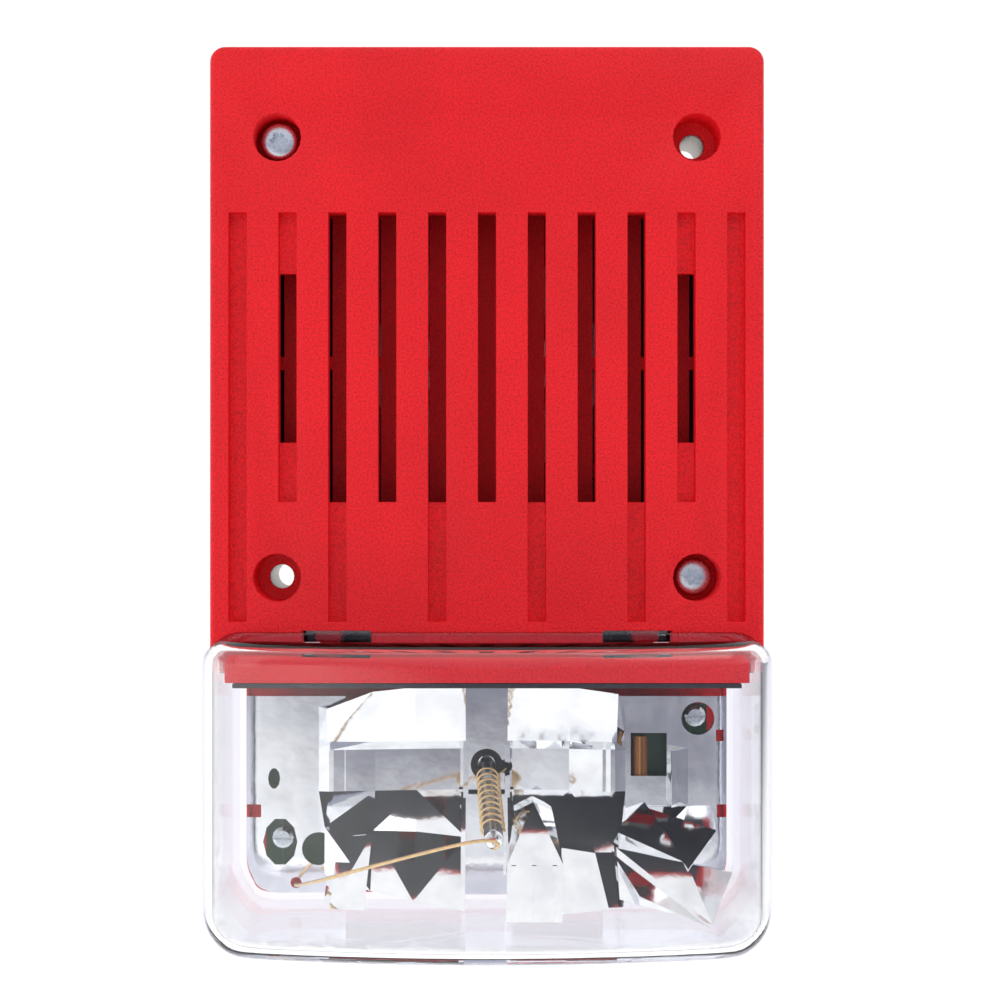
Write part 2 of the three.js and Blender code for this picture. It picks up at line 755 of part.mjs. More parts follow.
// The strip under the neck that closes the horn's chamber off from the lens; the leads pass through it.
function chamberSeal() {
  const sealTop = neckBottom - clearance;
  const strip = box([-59, 59], [faceY + 1, -12], [sealTop - sealThickness, sealTop]);
  return cut(strip, box(leadPassage.x, leadPassage.y, [sealTop - 2, neckBottom]));
}

function buildStrobe() {
  add("chamber_seal", chamberSeal(), paint.black);
  add("reflector", reflector(), paint.mirror);
  add("flash_tube", flashTube(), paint.glass);
  add("front_electrode", electrode(true), paint.steel);
  add("rear_electrode", electrode(false), paint.steel);
  add("trigger_wire", triggerWire(), paint.brass);
  add("return_lead", returnLead(), paint.brass);
  add("strobe_board", strobeBoard(), paint.board);
  const socket = cut(
    box([-4.3, 4.3], [-10.2, strobeBoardY[0] - clearance], [-75, -59]),
    aimed(rod(tubeRadius + clearance, [-8, 12], 0, 0, 12), tubeBase, tubeTip),
  );
  add("tube_socket", socket, paint.black);
  const coilCore = new THREE.CylinderGeometry(2, 2, 11, 20).rotateX(Math.PI / 2).translate(37.2, -10.4, -65);
  add("trigger_coil", solid(coilCore), paint.amber);
  strobeScrews.forEach(([x, z], index) => {
    add("strobe_screw_" + (index + 1), smallScrew(x, z, strobeBoardY[0] - clearance, 5.4, -1), paint.zinc);
  });
}

function buildHorn() {
  add("horn_frame", hornFrame(), paint.black);
  add("horn_magnet", ring(16, 9.6, [-12, -7.6], 0, hornZ), paint.ferrite);
  add("pole_piece", polePiece(), paint.steel);
  add("coil_bobbin", coilBobbin(), paint.film);
  add("horn_coil", ring(8.7, 6, [-14.6, -8.7], 0, hornZ), paint.copper);
  add("diaphragm", diaphragm(), paint.steel);
  add("armature", rod(7, [-18.2, -17.2], 0, hornZ), paint.steel);
  add("clamp_ring", ring(30.7, 27.5, [-21.3, -19.4], 0, hornZ, 28), paint.black);
  hornEars.forEach(([x, z], index) => {
    add("horn_screw_" + (index + 1), smallScrew(x, z, hornEarY[1] + clearance, 9, 1), paint.zinc);
  });
}

function buildElectronics() {
  add("main_board", mainBoard(), paint.board);
  const capacitor = new THREE.CylinderGeometry(8, 8, 34, 32).rotateZ(Math.PI / 2).translate(-14, -25, -24.5);
  add("storage_capacitor", solid(capacitor), paint.blue);
  const inductor = turned(
    [[0, -28], [7, -28], [7, -26.5], [5.5, -26.5], [5.5, -18.3], [7, -18.3], [7, -16.6], [0, -16.6]],
    13,
    -24,
    24,
  );
  add("boost_inductor", inductor, paint.ferrite);
  add("driver_chip", box([25, 33], [-18, mainBoardY[0] - clearance], [-20, -15]), paint.black);
  add("switching_transistor", box([23, 33], [-20.6, mainBoardY[0] - clearance], [-34, -25]), paint.black);
  add("terminal_block", terminalBlock(), paint.green);
  terminalCentres().forEach((x, index) => {
    const contact = cut(
      box([x - 2.9, x + 2.9], [-7.9, -7.1], [terminalZ - 5.8, terminalZ + 1.2]),
      rod(1.6, [-10, -5], x, terminalZ, 8),
    );
    add("contact_plate_" + (index + 1), contact, paint.brass);
    add("terminal_screw_" + (index + 1), smallScrew(x, terminalZ, -6.8, 4.6, 1), paint.zinc);
  });
  mainBoardScrews.forEach(([x, z], index) => {
    add("board_screw_" + (index + 1), smallScrew(x, z, mainBoardY[1] + clearance, 8.4, 1), paint.zinc);
  });
}

function buildLeads() {
  const hornRoute = (side) => [
    [5 * side, -8, 6],
    [5 * side, -8, -2],
    [6.5 * side, -8, -4.4],
    [14 * side, -8, -4.7],
    [20 * side, -8.8, -5.4],
    [22.5 * side, -14, -9.5],
  ];
  add("horn_lead_plus", wire(hornRoute(1), 0.5, 3, 6), paint.redLead);
  add("horn_lead_minus", wire(hornRoute(-1), 0.5, 3, 6), paint.black);
  const strobeRoute = (x) => [
    [x, -16.6, -36],
    [x, -18.6, -38.5],
    [x, -19, neckBottom],
    [x, -17, -48],
    [x, -11, -52.5],
    [x, -7.9, -54],
  ];
  add("strobe_lead_plus", wire(strobeRoute(-9.2), 0.6, 3, 6), paint.redLead);
  add("strobe_lead_minus", wire(strobeRoute(-11.8), 0.6, 3, 6), paint.black);
}

function buildRear() {
  add("rear_plate", rearPlate(), paint.black);
  rearPlateScrews.forEach(([x, z], index) => {
    add("rear_plate_screw_" + (index + 1), countersunkScrew(x, z, 10), paint.zinc);
  });
}

buildFront();
buildStrobe();
buildHorn();
buildElectronics();
buildLeads();
buildRear();

export default object;
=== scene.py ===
"""Looks of the wall-mounted horn strobe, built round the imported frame. Metres, +Z up, the front faces -Y."""

import json
import math

import bmesh
import bpy
import numpy as np
from mathutils import Matrix, Vector


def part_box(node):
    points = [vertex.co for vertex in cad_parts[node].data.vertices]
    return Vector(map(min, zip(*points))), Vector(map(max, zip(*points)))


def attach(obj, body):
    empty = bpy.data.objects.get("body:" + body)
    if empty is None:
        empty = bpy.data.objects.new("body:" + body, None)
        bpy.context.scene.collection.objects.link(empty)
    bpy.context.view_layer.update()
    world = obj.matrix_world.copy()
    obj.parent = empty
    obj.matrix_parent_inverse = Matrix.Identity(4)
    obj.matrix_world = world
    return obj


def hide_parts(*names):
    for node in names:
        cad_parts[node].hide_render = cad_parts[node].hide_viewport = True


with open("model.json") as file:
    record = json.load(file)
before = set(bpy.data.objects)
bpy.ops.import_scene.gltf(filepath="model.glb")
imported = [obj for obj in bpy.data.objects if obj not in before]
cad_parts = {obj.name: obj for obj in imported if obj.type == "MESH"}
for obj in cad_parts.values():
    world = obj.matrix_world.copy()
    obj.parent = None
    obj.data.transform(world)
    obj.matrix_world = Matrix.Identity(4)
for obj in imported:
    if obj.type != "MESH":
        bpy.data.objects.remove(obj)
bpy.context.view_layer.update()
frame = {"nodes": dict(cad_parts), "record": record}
nodes = frame["nodes"]
MM = 0.001


# ---------------------------------------------------------------- meshes

def piece(name, mesh, body="base", smooth=30):
    """A new object from a mesh, shaded smooth below the given angle, riding on a body."""
    obj = bpy.data.objects.new(name, mesh)
    bpy.context.scene.collection.objects.link(obj)
    shade(obj, smooth)
    if body:
        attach(obj, body)
    return obj


def shade(obj, smooth):
    mesh = obj.data
    mesh.polygons.foreach_set("use_smooth", [True] * len(mesh.polygons))
    mesh.set_sharp_from_angle(angle=math.radians(smooth))


def modifier(obj, kind, **settings):
    made = obj.modifiers.new(kind.lower(), kind)
    for key, value in settings.items():
        setattr(made, key, value)
    return made


def apply_modifiers(obj):
    graph = bpy.context.evaluated_depsgraph_get()
    result = bpy.data.meshes.new_from_object(obj.evaluated_get(graph))
    obj.modifiers.clear()
    obj.data = result


def block(name, low, high):
    """A loose box used only to cut or join another piece."""
    mesh = bpy.data.meshes.new(name)
    made = bmesh.new()
    bmesh.ops.create_cube(made, size=1)
    low, high = Vector(low), Vector(high)
    for vertex in made.verts:
        vertex.co = Vector((low[i] + (vertex.co[i] + 0.5) * (high[i] - low[i]) for i in range(3)))
    made.to_mesh(mesh)
    made.free()
    obj = bpy.data.objects.new(name, mesh)
    bpy.context.scene.collection.objects.link(obj)
    return obj


def combine(obj, tool, operation):
    """Cuts or joins a tool into an object, and throws the tool away."""
    modifier(obj, "BOOLEAN", operation=operation, object=tool, solver="EXACT")
    bpy.context.view_layer.update()
    apply_modifiers(obj)
    bpy.data.objects.remove(tool)


# ---------------------------------------------------------------- materials

class Nodes:
    """A small helper that adds and links shader nodes."""

    def __init__(self, name):
        self.material = bpy.data.materials.new(name)
        self.material.use_nodes = True
        self.tree = self.material.node_tree
        self.shader = self.tree.nodes["Principled BSDF"]
        self.place = self.add("ShaderNodeTexCoord").outputs["Object"]

    def add(self, kind, **values):
        node = self.tree.nodes.new(kind)
        for key, value in values.items():
            if hasattr(node, key):
                setattr(node, key, value)
            else:
                node.inputs[key.replace("_", " ")].default_value = value
        return node

    def link(self, source, target):
        self.tree.links.new(source, target)

    def noise(self, size, detail=2.0, stretch=(1, 1, 1)):
        """Noise whose grains are about size metres across."""
        mapping = self.add("ShaderNodeMapping")
        mapping.inputs["Scale"].default_value = [factor / size for factor in stretch]
        self.link(self.place, mapping.inputs["Vector"])
        noise = self.add("ShaderNodeTexNoise", Scale=1.0, Detail=detail)
        self.link(mapping.outputs["Vector"], noise.inputs["Vector"])
        return noise.outputs["Fac"]

    def ramp(self, value, low, high, low_at=0.35, high_at=0.65):
        ramp = self.add("ShaderNodeValToRGB")
        first, last = ramp.color_ramp.elements
        first.position, last.position = low_at, high_at
        first.color, last.color = [(*c, 1) if len(c) == 3 else c for c in (low, high)]
        self.link(value, ramp.inputs["Fac"])
        return ramp.outputs["Color"]

    def rough(self, value, low, high):
        spread = self.add("ShaderNodeMapRange")
        spread.inputs["To Min"].default_value = low
        spread.inputs["To Max"].default_value = high
        self.link(value, spread.inputs["Value"])
        self.link(spread.outputs["Result"], self.shader.inputs["Roughness"])

    def darken(self, color):
        """Multiplies the base colour by another colour."""
        mix = self.add("ShaderNodeMix", data_type="RGBA", blend_type="MULTIPLY")
        mix.inputs["Factor"].default_value = 1
        base = self.shader.inputs["Base Color"]
        self.link(base.links[0].from_socket, mix.inputs["A"])
        self.link(color, mix.inputs["B"])
        self.link(mix.outputs["Result"], base)

    def bump(self, value, height, strength=1.0):
        bump = self.add("ShaderNodeBump", Strength=strength, Distance=height)
        self.link(value, bump.inputs["Height"])
        self.link(bump.outputs["Normal"], self.shader.inputs["Normal"])


    def see_through(self, solid, share):
        """Opens the surface by a share that nodes set, and gives back the mix and its open side."""
        clear_way = self.add("ShaderNodeBsdfTransparent")
        mix = self.add("ShaderNodeMixShader")
        self.link(share, mix.inputs[0])
        self.link(solid.outputs[0], mix.inputs[1])
        self.link(clear_way.outputs["BSDF"], mix.inputs[2])
        self.link(mix.outputs["Shader"], self.tree.nodes["Material Output"].inputs["Surface"])
        return mix, clear_way


def tint(color, factor):
    return tuple(min(1.0, channel * factor) for channel in color)


def plastic(
    name, color, rough=(0.4, 0.55), grain=0.35 * MM, height=0.02 * MM, spread=0.12, gloss=0.5, speckle=0
):
    """Moulded plastic with a fine eroded grain and a slow drift of tone."""
    n = Nodes(name)
    n.shader.inputs["Specular IOR Level"].default_value = gloss
    tone = n.noise(25 * MM, 3)
    n.link(n.ramp(tone, tint(color, 1 - spread), tint(color, 1 + spread)), n.shader.inputs["Base Color"])
    fine = n.noise(grain, 1)
    n.rough(fine, *rough)
    n.bump(fine, height)
    if speckle:
        dark = n.ramp(fine, tint((1, 1, 1), 1 - speckle), (1, 1, 1), 0.3, 0.6)
        n.darken(dark)
    return n.material


def metal(name, color, rough=(0.2, 0.4), brushed=(1, 1, 1), height=0.005 * MM, spread=0.1):
    """Bare or plated metal; brushed stretches the grain along one axis."""
    n = Nodes(name)
    n.shader.inputs["Metallic"].default_value = 1.0
    grain = n.noise(0.8 * MM, 4, brushed)
    n.link(n.ramp(grain, tint(color, 1 - spread), tint(color, 1 + spread)), n.shader.inputs["Base Color"])
    n.rough(grain, *rough)
    n.bump(grain, height)
    return n.material


def mirror(name):
    """Metallised plastic: a bright coating with faint orange peel."""
    n = Nodes(name)
    n.shader.inputs["Metallic"].default_value = 1.0
    cloud = n.noise(9 * MM, 3)
    n.link(n.ramp(cloud, (0.78, 0.79, 0.81), (0.93, 0.94, 0.95)), n.shader.inputs["Base Color"])
    n.rough(cloud, 0.03, 0.1)
    n.bump(n.noise(5 * MM, 3), 0.03 * MM)
    return n.material


def clear(name, color, ior, rough, haze=0.0, edge=None):
    """Clear plastic or glass with faint handling haze, which lets lamp light through to what it covers.

    Where an edge colour is given, the steepest edges show a plain tint in place of trapped light.
    """
    n = Nodes(name)
    n.shader.inputs["Base Color"].default_value = (*color, 1)
    n.shader.inputs["Transmission Weight"].default_value = 1.0
    n.shader.inputs["IOR"].default_value = ior
    n.rough(n.noise(14 * MM, 4), rough, rough + haze)
    n.bump(n.noise(18 * MM, 1), 0.03 * MM)
    surface = n.shader
    if edge:
        facing = n.add("ShaderNodeLayerWeight", Blend=0.5).outputs["Facing"]
        steep = n.ramp(facing, (0, 0, 0), (1, 1, 1), 0.62, 0.85)
        surface, open_edge = n.see_through(n.shader, steep)
        open_edge.inputs["Color"].default_value = (*edge, 1)
    n.see_through(surface, n.add("ShaderNodeLightPath").outputs["Is Shadow Ray"])
    return n.material


def winding(name, color, pitch=0.22 * MM):
    """Close turns of enamelled wire round a Y axis, with painted shade in the groove between turns."""
    n = Nodes(name)
    n.shader.inputs["Metallic"].default_value = 0.8
    n.shader.inputs["Coat Weight"].default_value = 0.5
    wave = n.add("ShaderNodeTexWave", Scale=2 * math.pi / pitch / 20, Distortion=0.3)
    wave.bands_direction = "Y"
    n.link(n.place, wave.inputs["Vector"])
    # Painted shade: each turn darkens to about a third of its colour where it meets the next.
    n.link(n.ramp(wave.outputs["Fac"], tint(color, 0.35), color, 0.0, 0.6), n.shader.inputs["Base Color"])
    n.rough(n.noise(1 * MM), 0.25, 0.4)
    n.bump(wave.outputs["Fac"], 0.05 * MM)
    return n.material


def laminate(name, color):
    """Solder-masked board with faint tracks."""
    n = Nodes(name)
    brick = n.add("ShaderNodeTexBrick", Scale=90.0)
    brick.inputs["Color1"].default_value = (*color, 1)
    brick.inputs["Color2"].default_value = (*tint(color, 1.6), 1)
    brick.inputs["Mortar"].default_value = (*tint(color, 2.4), 1)
    n.link(n.place, brick.inputs["Vector"])
    n.link(brick.outputs["Color"], n.shader.inputs["Base Color"])
    n.rough(n.noise(2 * MM), 0.25, 0.4)
    n.bump(n.noise(0.5 * MM), 0.01 * MM)
    return n.material


RED = (0.88, 0.008, 0.016)
ROOM = (0.42, 0.43, 0.52)
slots = {
    "red_plastic": plastic("red_housing_plastic", RED, (0.4, 0.6), 0.5 * MM, 0.2 * MM, 0.05, 0.28, 0.3),
    "clear_lens": clear("clear_polycarbonate", (0.985, 0.99, 1.0), 1.5, 0.0, 0.03, (0.89, 0.89, 0.94)),
    "mirror_coating": mirror("metallised_reflector"),
    "tube_glass": clear("tube_glass", (0.98, 0.99, 1.0), 1.47, 0.0, 0.02),
    "tube_electrode": metal("electrode_metal", (0.55, 0.55, 0.55)),
    "wire_gold": metal("bare_gold_wire", (0.72, 0.5, 0.25), (0.2, 0.3)),
    "zinc_screw": metal("bluish_zinc", (0.66, 0.72, 0.78), (0.2, 0.34)),
    "small_screw": metal("bright_zinc", (0.62, 0.66, 0.7), (0.2, 0.35)),
    "sleeve_steel": metal("sleeve_steel", (0.42, 0.38, 0.35), (0.3, 0.5)),
    "horn_steel": metal("horn_sheet_steel", (0.4, 0.4, 0.42), (0.25, 0.45), (1, 1, 0.1)),
    "black_plastic": plastic("black_moulding", (0.016, 0.016, 0.018), (0.45, 0.6), 0.4 * MM, 0.02 * MM),
    # Painted shade: this dark grey sheet under the reflector's neck stands in for the shade there, and the
    # facets below mirror it as dark patches.
    "seal_foam": plastic("seal_foam", (0.05, 0.054, 0.062), (0.8, 0.95), 0.6 * MM, 0.02 * MM, 0.2, 0.2),
    "ferrite": plastic("ferrite_grey", (0.05, 0.05, 0.055), (0.6, 0.8), 0.25 * MM, 0.03 * MM, 0.3),
    "copper_winding": winding("copper_coil", (0.6, 0.22, 0.08)),
    "amber_winding": winding("amber_coil", (0.5, 0.2, 0.05)),
    "bobbin_film": plastic("natural_nylon", (0.7, 0.64, 0.48)),
    "board_laminate": laminate("green_board", (0.008, 0.05, 0.02)),
    "capacitor_sleeve": plastic("capacitor_sleeve", (0.012, 0.03, 0.09), (0.2, 0.3), 1.5 * MM),
    "terminal_green": plastic("terminal_moulding", (0.02, 0.18, 0.07), (0.35, 0.5)),
    "contact_brass": metal("stamped_brass", (0.7, 0.5, 0.2)),
    "lead_red": plastic("red_insulation", (0.45, 0.01, 0.015), (0.4, 0.5), 0.8 * MM),
    "lead_black": plastic("black_insulation", (0.015, 0.015, 0.015), (0.4, 0.5), 0.8 * MM),
}
ROUNDED = {"front_housing": 0.2 * MM}
slot_of = {entry["node"]: entry["material_slot"] for entry in frame["record"]["subparts"]}


def finish_cad_nodes():
    """Each CAD piece gets its slot's material and soft shading."""
    for name, obj in nodes.items():
        obj.data.materials.clear()
        obj.data.materials.append(slots[slot_of[name]])
        shade(obj, 32)
    for name, width in ROUNDED.items():
        soften_edges(nodes[name], width)


def soften_edges(obj, width):
    """Rounds a moulding's sharp edges, as its tool leaves them."""
    modifier(obj, "WELD", merge_threshold=0.001 * MM)
    modifier(obj, "DECIMATE", decimate_type="DISSOLVE", angle_limit=math.radians(0.5))
    bevel = modifier(obj, "BEVEL", width=width, segments=2, limit_method="ANGLE", use_clamp_overlap=False)
    bevel.angle_limit = math.radians(40)
    bevel.harden_normals = True


# ---------------------------------------------------------------- stage

def add_camera():
    data = bpy.data.cameras.new("camera")
    data.lens, data.sensor_width = 62.4, 36
    data.shift_x, data.shift_y = 0.02, 0.02
    data.clip_start, data.clip_end = 0.01, 20
    camera = bpy.data.objects.new("camera", data)
    camera.location = (-0.0016, -0.434, -0.0069)
    camera.rotation_euler = (math.radians(90), 0, 0)
    bpy.context.scene.collection.objects.link(camera)
    bpy.context.scene.camera = camera


def add_light(name, place, target, size, power):
    data = bpy.data.lights.new(name, "AREA")
    data.shape, data.size, data.size_y = "RECTANGLE", *size
    data.energy = power
    light = bpy.data.objects.new(name, data)
    light.location = place
    light.rotation_euler = (Vector(target) - Vector(place)).to_track_quat("-Z", "Y").to_euler()
    bpy.context.scene.collection.objects.link(light)


def add_world():
    """A white studio whose camera side is dimmer low down, as a room is behind a photographer."""
    world = bpy.data.worlds.new("studio")
    world.use_nodes = True
    tree = world.node_tree
    place = tree.nodes.new("ShaderNodeTexCoord")
    split = tree.nodes.new("ShaderNodeSeparateXYZ")
    depth = tree.nodes.new("ShaderNodeMapRange")
    depth.inputs["From Min"].default_value = -0.75
    depth.inputs["From Max"].default_value = 0.1
    height = tree.nodes.new("ShaderNodeMapRange")
    height.inputs["From Min"].default_value = 0.05
    height.inputs["From Max"].default_value = 0.75
    most = tree.nodes.new("ShaderNodeMath")
    most.operation = "MAXIMUM"
    ramp = tree.nodes.new("ShaderNodeValToRGB")
    ramp.color_ramp.elements[0].color = (*ROOM, 1)
    ramp.color_ramp.elements[1].color = (1, 1, 1, 1)
    tree.links.new(place.outputs["Generated"], split.inputs["Vector"])
    tree.links.new(split.outputs["Y"], depth.inputs["Value"])
    tree.links.new(split.outputs["Z"], height.inputs["Value"])
    tree.links.new(depth.outputs["Result"], most.inputs[0])
    tree.links.new(height.outputs["Result"], most.inputs[1])
    tree.links.new(most.outputs["Value"], ramp.inputs["Fac"])
    background = tree.nodes["Background"]
    tree.links.new(ramp.outputs["Color"], background.inputs["Color"])
    background.inputs["Strength"].default_value = 1.05
    bpy.context.scene.world = world


# How light the floor's painted shade is at the object, and how that changes with each metre back and to the
# right.
FLOOR_AT_OBJECT = 1.2
FLOOR_PER_DEPTH = 0.4
FLOOR_PER_SIDE = -0.8
FLOOR_LEVEL = -0.32


def add_floor():
    """A white sweep whose painted shade falls off towards the room on the camera's side, with a faint painted
    glow.
    """
    mesh = bpy.data.meshes.new("floor")
    made = bmesh.new()
    bmesh.ops.create_grid(made, x_segments=4, y_segments=4, size=6)
    made.to_mesh(mesh)
    made.free()
    floor = piece("floor", mesh, body=None)
    floor.location.z = FLOOR_LEVEL
    n = Nodes("floor_painted_shade")
    split = n.add("ShaderNodeSeparateXYZ")
    n.link(n.place, split.inputs["Vector"])
    depth = n.add("ShaderNodeMath", operation="MULTIPLY_ADD")
    depth.inputs[1].default_value = FLOOR_PER_DEPTH
    depth.inputs[2].default_value = FLOOR_AT_OBJECT
    n.link(split.outputs["Y"], depth.inputs[0])
    side = n.add("ShaderNodeMath", operation="MULTIPLY_ADD")
    side.inputs[1].default_value = FLOOR_PER_SIDE
    n.link(split.outputs["X"], side.inputs[0])
    n.link(depth.outputs["Value"], side.inputs[2])
    # Painted shade and glow: the floor's colour and its emission darken towards the camera side and to the
    # right, standing in for a dimmer room.
    painted_floor_shade = n.ramp(side.outputs["Value"], (0.2, 0.2, 0.24), (0.95, 0.95, 0.95), 0.2, 1.0)
    n.link(painted_floor_shade, n.shader.inputs["Base Color"])
    n.link(painted_floor_shade, n.shader.inputs["Emission Color"])
    n.shader.inputs["Emission Strength"].default_value = 0.25
    n.shader.inputs["Roughness"].default_value = 0.8
    mesh.materials.append(n.material)


# ---------------------------------------------------------------- lens

LENS_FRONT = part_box("lens")[0].y
LENS_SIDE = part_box("lens")[1].x
LENS_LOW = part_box("lens")[0].z
LENS_HIGH = -32.9 * MM
LENS_WALL = 2.2 * MM
LENS_BOW = 240 * MM
LENS_CORNER = 18 * MM
LENS_TOP_ROUND = 7 * MM
LENS_BOTTOM_ROUND = 11 * MM
LENS_EDGE = 4.5 * MM
LENS_END = -0.3 * MM
SKIRT_TOP = -42 * MM
SNAP_X = 34.5 * MM
SNAP_HALF = 7.5 * MM
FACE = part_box("front_housing")[0].y


def lens_distance(points, inset, back):
    """How far points lie outside the lens block, shrunk by inset on every side."""
    x, y, z = abs(points[:, 0]), points[:, 1], points[:, 2]
    side = LENS_SIDE - inset
    low, high = LENS_LOW + inset, LENS_HIGH - inset
    middle = (low + high) / 2
    # The front view is a rectangle with rounded corners.
    radius = np.where(z > middle, LENS_TOP_ROUND, LENS_BOTTOM_ROUND) - inset
    across = x - side + radius
    upright = abs(z - middle) - (high - low) / 2 + radius
    reach = np.hypot(np.maximum(across, 0), np.maximum(upright, 0))
    elevation = np.minimum(np.maximum(across, upright), 0) + reach - radius
    rounded = (across > 0) & (upright > 0)
    elevation_x = np.where(rounded, across / np.maximum(reach, 1e-9), across > upright)
    # The plan has straight sides, round corners and a bowed front.
    corner, bow = LENS_CORNER - inset, LENS_BOW - inset
    bow_y = LENS_FRONT + inset + bow
    corner_x = side - corner
    corner_y = bow_y - math.sqrt((bow - corner) ** 2 - corner_x**2)
    lean = math.tan(math.asin(corner_x / (bow - corner)))
    out, ahead = x - corner_x, corner_y - y
    arc = np.hypot(out, ahead)
    front = np.hypot(x, y - bow_y)
    on_bow = out < lean * ahead
    plan = np.where(ahead < 0, x - side, np.where(on_bow, front - bow, arc - corner))
    plan_x = np.where(ahead < 0, 1, np.where(on_bow, x / front, out / np.maximum(arc, 1e-9)))
    # The edge between them is rounded where they face different ways.
    edge = (LENS_EDGE - inset) * (1 - elevation_x * plan_x)
    first, second = elevation + edge, plan + edge
    meet = np.hypot(np.maximum(first, 0), np.maximum(second, 0))
    outside = np.minimum(np.maximum(first, second), 0) + meet - edge
    return np.maximum(outside, y - back)


def lens_block(name, inset, back):
    """The smooth solid block, found by pushing a fine box outwards from its middle."""
    made = bmesh.new()
    bmesh.ops.create_cube(made, size=2)
    bmesh.ops.subdivide_edges(made, edges=made.edges[:], cuts=47, use_grid_fill=True)
    unit = np.array([v.co for v in made.verts])
    unit = np.sin(unit * math.pi / 2)
    middle = np.array([0, LENS_FRONT / 2, (LENS_LOW + LENS_HIGH) / 2])
    rays = unit * np.array([LENS_SIDE, -LENS_FRONT / 2, (LENS_HIGH - LENS_LOW) / 2])
    near, far = np.zeros(len(rays)), np.full(len(rays), 2.0)
    for _ in range(40):
        half = (near + far) / 2
        outside = lens_distance(middle + rays * half[:, None], inset, back) > 0
        far = np.where(outside, half, far)
        near = np.where(outside, near, half)
    for vertex, place in zip(made.verts, middle + rays * near[:, None]):
        vertex.co = place
    mesh = bpy.data.meshes.new(name)
    made.to_mesh(mesh)
    made.free()
    obj = bpy.data.objects.new(name, mesh)
    bpy.context.scene.collection.objects.link(obj)
    return obj


def snap_arm(x):
    """An arm with a hook at its end, as one L-shaped bar."""
    low, arm_top, hook_top = LENS_HIGH - 2 * MM, LENS_HIGH - 0.4 * MM, LENS_HIGH + 0.4 * MM
    start, hook_start, end = FACE - MM, FACE + 6.2 * MM, FACE + 7.8 * MM
    outline = (
        (start, low), (end, low), (end, hook_top),
        (hook_start, hook_top), (hook_start, arm_top), (start, arm_top),
    )
    made = bmesh.new()
    left = [made.verts.new((x - SNAP_HALF, y, z)) for y, z in outline]
    right = [made.verts.new((x + SNAP_HALF, y, z)) for y, z in outline]
    made.faces.new(left)
    made.faces.new(right)
    for step in range(len(outline)):
        after = (step + 1) % len(outline)
        made.faces.new((left[step], left[after], right[after], right[step]))
    bmesh.ops.recalc_face_normals(made, faces=made.faces[:])
    mesh = bpy.data.meshes.new("snap_arm")
    made.to_mesh(mesh)
    made.free()
    obj = bpy.data.objects.new("snap_arm", mesh)
    bpy.context.scene.collection.objects.link(obj)
    return obj


def make_lens():
    lens = lens_block("lens_shell", 0, 5 * MM)
    combine(lens, lens_block("hollow", LENS_WALL, 8 * MM), "DIFFERENCE")
    wide, seat = 80 * MM, FACE + 1.7 * MM
    combine(lens, block("behind", (-wide, LENS_END, -2 * wide), (wide, wide, wide)), "DIFFERENCE")
    combine(lens, block("above", (-wide, seat, SKIRT_TOP), (wide, wide, wide)), "DIFFERENCE")
    for x in (-SNAP_X, SNAP_X):
        combine(lens, snap_arm(x), "UNION")
    lens.name = "smooth_lens"
    lens.data.materials.clear()
    lens.data.materials.append(slots["clear_lens"])
    shade(lens, 35)
    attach(lens, "base")
    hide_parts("lens")


# ---------------------------------------------------------------- screws

def lathe(profile, x, z, steps=48):
    """A mesh turned about an axis along Y at x, z.

    Its (radius, y) points start and end on the axis, or end where they start.
    """
    made = bmesh.new()
    rings = []
    for radius, y in profile:
        if radius == 0:
            rings.append([made.verts.new((x, y, z))])
            continue
        turns = [2 * math.pi * step / steps for step in range(steps)]
        rings.append([made.verts.new((x + radius * math.cos(a), y, z + radius * math.sin(a))) for a in turns])
    for near, far in zip(rings, rings[1:]):
        for step in range(steps):
            corners = [near[step % len(near)], near[(step + 1) % len(near)]]
            corners += [far[(step + 1) % len(far)], far[step % len(far)]]
            made.faces.new(dict.fromkeys(corners))
    bmesh.ops.remove_doubles(made, verts=made.verts[:], dist=0.001 * MM)
    bmesh.ops.recalc_face_normals(made, faces=made.faces[:])
    mesh = bpy.data.meshes.new("turned")
    made.to_mesh(mesh)
    made.free()
    return mesh


def six_lobes(x, z, front, depth, outer):
    """A cutter for a six-lobed driver recess."""
    made = bmesh.new()
    outline = []
    for step in range(72):
        angle = 2 * math.pi * step / 72
        radius = outer * (0.86 + 0.14 * math.cos(6 * angle))
        outline.append((x + radius * math.cos(angle), z + radius * math.sin(angle)))
    near = [made.verts.new((px, front - MM, pz)) for px, pz in outline]
    far = [made.verts.new((x + (px - x) * 0.9, front + depth, z + (pz - z) * 0.9)) for px, pz in outline]
    for step in range(72):
        after = (step + 1) % 72
        made.faces.new((near[step], near[after], far[after], far[step]))
    made.faces.new(near)
    made.faces.new(far)
    bmesh.ops.recalc_face_normals(made, faces=made.faces[:])
    mesh = bpy.data.meshes.new("recess")
    made.to_mesh(mesh)
    made.free()
    obj = bpy.data.objects.new("recess", mesh)
    bpy.context.scene.collection.objects.link(obj)
    return obj


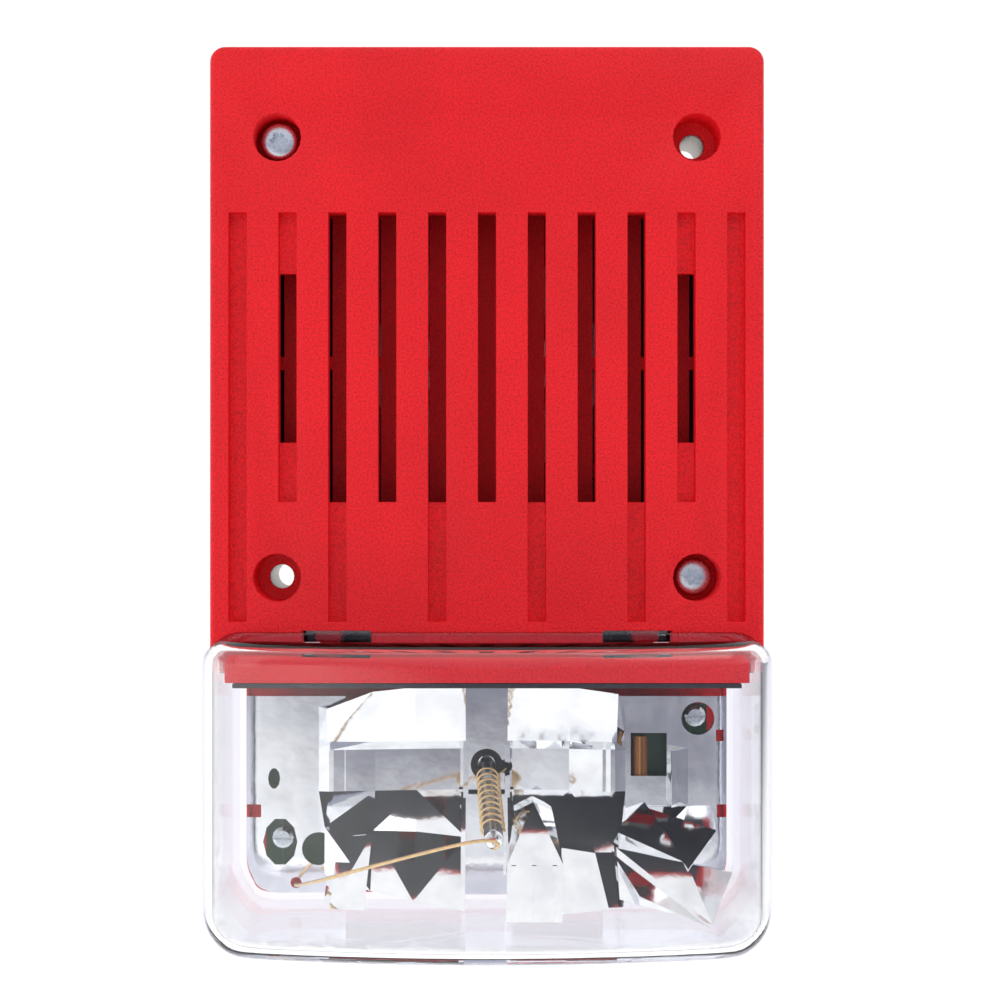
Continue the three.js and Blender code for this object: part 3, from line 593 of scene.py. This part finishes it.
def make_cover_screw(node, body):
    """A domed head with a rounded rim and a six-lobed recess, on a threaded shank."""
    low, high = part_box(node)
    x, z = (low.x + high.x) / 2, (low.z + high.z) / 2
    radius, front, end = (high.x - low.x) / 2, low.y, high.y
    seat = front + 3.6 * MM
    dome = []
    for step in range(13):
        angle = math.radians(82) * step / 12
        dome.append((radius * 0.94 * math.sin(angle), front + 0.7 * MM * (1 - math.cos(angle))))
    rim = [(radius, front + 1.1 * MM), (radius, seat - 0.3 * MM), (radius - 0.3 * MM, seat)]
    root, crest, pitch = 1.95 * MM, 2.4 * MM, 0.8 * MM
    thread = [(crest, seat), (crest, seat + 6 * MM)]
    y = seat + 6 * MM
    while y < end - 2 * pitch:
        thread += [(root, y + 0.3 * pitch), (crest, y + 0.7 * pitch)]
        y += pitch
    tip = [(root, end - 0.6 * MM), (root * 0.7, end), (0, end)]
    screw = piece(node + "_detail", lathe(dome + rim + thread + tip, x, z), body=None)
    combine(screw, six_lobes(x, z, front, 2.1 * MM, 2.25 * MM), "DIFFERENCE")
    screw.data.materials.clear()
    screw.data.materials.append(slots["zinc_screw"])
    shade(screw, 40)
    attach(screw, body)
    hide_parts(node)


# ---------------------------------------------------------------- flash tube and its wires

TUBE_BASE = Vector((0, -9.5, -66.4)) * MM
TUBE_TIP = Vector((1.5, -55, -77.4)) * MM
TUBE_RADIUS = 2.1 * MM
TUBE_AXIS = (TUBE_TIP - TUBE_BASE).normalized()
TUBE_LENGTH = (TUBE_TIP - TUBE_BASE).length


def make_flash_tube():
    """The glass: a plain tube open at its base, drawn in round the front electrode's pin."""
    bore, pin, end = 1.4 * MM, 0.55 * MM, TUBE_LENGTH - 1.6 * MM
    outside = [(bore, 0), (TUBE_RADIUS, 0), (TUBE_RADIUS, end)]
    for step in range(1, 9):
        angle = math.radians(90) * step / 8
        outside.append((pin + (TUBE_RADIUS - pin) * math.cos(angle), end + 1.6 * MM * math.sin(angle)))
    inside = [(pin, end), (bore, end - 0.8 * MM), (bore, 0)]
    mesh = lathe(outside + inside, 0, 0)
    turn = Vector((0, 1, 0)).rotation_difference(TUBE_AXIS).to_matrix().to_4x4()
    mesh.transform(Matrix.Translation(TUBE_BASE) @ turn)
    mesh.materials.append(slots["tube_glass"])
    tube = piece("flash_tube_glass", mesh)
    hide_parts("flash_tube")


def drawn_wire(name, points, radius, slot, node):
    """A round wire along a smooth curve through the points."""
    curve = bpy.data.curves.new(name, "CURVE")
    curve.dimensions = "3D"
    curve.bevel_depth = radius
    curve.bevel_resolution = 4
    curve.use_fill_caps = True
    spline = curve.splines.new("NURBS")
    spline.points.add(len(points) - 1)
    for target, place in zip(spline.points, points):
        target.co = (*place, 1)
    spline.use_endpoint_u = True
    spline.order_u = 3
    spline.resolution_u = 3
    curve.materials.append(slots[slot])
    wire = bpy.data.objects.new(name, curve)
    bpy.context.scene.collection.objects.link(wire)
    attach(wire, "base")
    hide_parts(node)


def make_trigger_wire():
    """Ten even turns round the glass, with a tail to the small hole beside the tube."""
    across = Vector((1, 0, 0)).cross(TUBE_AXIS).normalized()
    beside = -across.cross(TUBE_AXIS)
    turns, per_turn = 10, 20
    start, end = 7 * MM, TUBE_LENGTH - 6 * MM
    coil = TUBE_RADIUS + 0.5 * MM
    points = [Vector(p) * MM for p in ((5, -8, -66.9), (4.8, -14, -67), (3.6, -15.8, -67.6))]
    for step in range(turns * per_turn + 1):
        angle = 2 * math.pi * step / per_turn
        along = start + (end - start) * step / (turns * per_turn)
        around = beside * math.cos(angle) + across * math.sin(angle)
        points.append(TUBE_BASE + TUBE_AXIS * along + around * coil)
    drawn_wire("trigger_wire_coil", points, 0.24 * MM, "wire_gold", "trigger_wire")


def make_return_lead():
    route = (
        (1.6, -57.4, -78.2), (3.2, -58.8, -77), (0, -59, -75.8), (-8, -57.5, -77.6), (-25, -52, -83),
        (-37, -42, -88.2), (-45.4, -22, -93.8), (-46, -15, -94.6), (-46, -8.2, -94.6),
    )
    drawn_wire("return_lead_wire", [Vector(p) * MM for p in route], 0.4 * MM, "wire_gold", "return_lead")


# ---------------------------------------------------------------- the object

add_camera()
add_world()
add_floor()
add_light("key", (0.75, -0.85, 0.9), (0, 0, 0), (0.9, 0.9), 3.2)
add_light("fill", (-0.9, -0.8, 0.3), (0, 0, -0.02), (0.7, 0.9), 1.2)
bpy.context.scene.view_settings.view_transform = "Standard"
finish_cad_nodes()
make_lens()
make_cover_screw("cover_screw_top_left", "top_left_screw")
make_cover_screw("cover_screw_bottom_right", "bottom_right_screw")
make_flash_tube()
make_trigger_wire()
make_return_lead()
